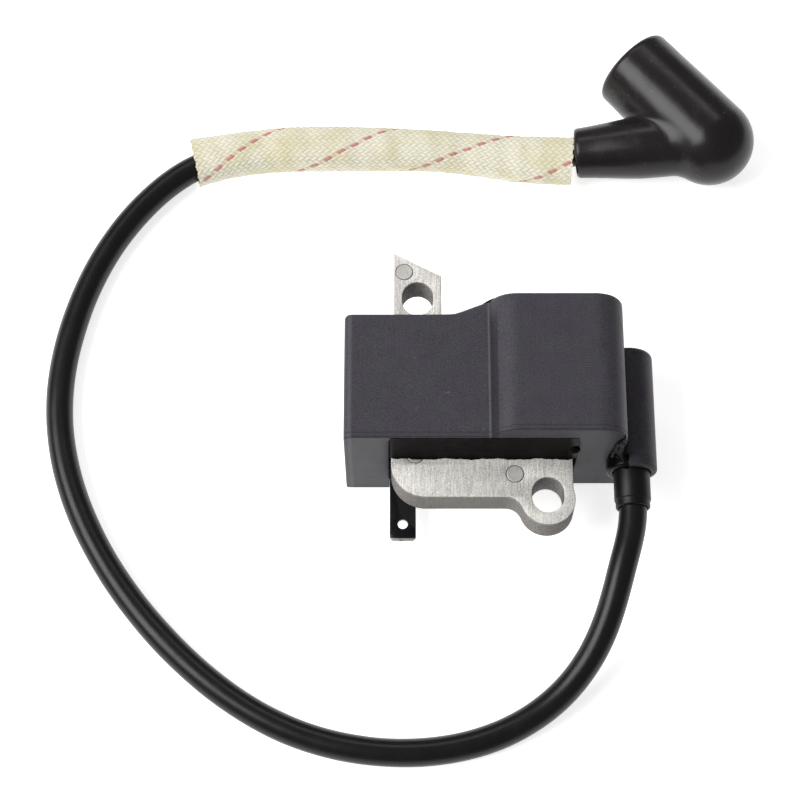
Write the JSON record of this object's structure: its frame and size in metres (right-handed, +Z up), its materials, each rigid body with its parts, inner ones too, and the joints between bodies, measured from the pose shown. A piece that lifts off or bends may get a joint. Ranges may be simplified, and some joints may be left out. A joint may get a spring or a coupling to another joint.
{
  "type": "ignition coil",
  "caption": "Small-engine ignition coil: potted black housing on a laminated steel core with two slotted ears, and a sleeved high-tension lead with an elbow plug boot.",
  "frame": {"origin": "on the table under the middle of the module's box, measured without the lead and what is on it", "axes": "+Z up from the open, potted underside to the housing's top; -Y towards the yoke and the front wall; +X towards the high-tension outlet"},
  "size_m": [0.1326, 0.1411, 0.0286],
  "materials": {
    "housing_nylon": "fine matt moulded black nylon",
    "potting_epoxy": "wet-looking glossy black epoxy",
    "core_steel": "satin silicon steel, fine brushed grain",
    "blade_steel": "smooth plated blade",
    "bobbin_plastic": "natural glass-filled nylon",
    "copper_wire": "enamelled copper",
    "black_rubber": "satin moulded black rubber",
    "fibreglass_braid": "cream braided glass fibre with a red tracer",
    "board_laminate": "green solder-masked laminate",
    "capacitor_film": "dipped film capacitor",
    "device_epoxy": "moulded epoxy package",
    "resistor_coat": "tan resistor coating",
    "wire_insulation": "red insulated wire",
    "ground_insulation": "green insulated wire",
    "contact_brass": "turned brass",
    "spring_steel": "bright spring wire"
  },
  "bodies": {
    "module": {"housing_shell": "housing_nylon", "potting_base": "potting_epoxy", "front_potting_bead": "potting_epoxy", "rear_potting_bead": "potting_epoxy", "outlet_potting_bead": "potting_epoxy", "laminated_core": "core_steel", "core_rivet_1": "core_steel", "core_rivet_2": "core_steel", "core_rivet_3": "core_steel", "kill_switch_blade": "blade_steel", "inner_bobbin": "bobbin_plastic", "charge_winding": "copper_wire", "primary_winding": "copper_wire", "insulating_wrap": "fibreglass_braid", "secondary_bobbin": "bobbin_plastic", "secondary_winding_1": "copper_wire", "secondary_winding_2": "copper_wire", "secondary_winding_3": "copper_wire", "circuit_board": "board_laminate", "storage_capacitor": "capacitor_film", "thyristor": "device_epoxy", "rectifier_diode": "device_epoxy", "trigger_resistor": "resistor_coat", "kill_lead": "wire_insulation", "ground_lead": "ground_insulation", "high_tension_link_wire": "copper_wire", "high_tension_contact_pin": "contact_brass", "strain_relief_collar": "black_rubber", "hv_lead": "black_rubber", "fibreglass_sleeve": "fibreglass_braid"},
    "boot": {"plug_boot": "black_rubber", "plug_terminal_spring": "spring_steel"}
  },
  "joints": [
    {"name": "boot_twist", "type": "hinge", "parent": "module", "child": "boot", "pos_m": [0.04127, 0.05364, 0.00848], "axis": [0.9903, 0.0267, 0.1367], "range_deg": [-90, 90]}
  ]
}
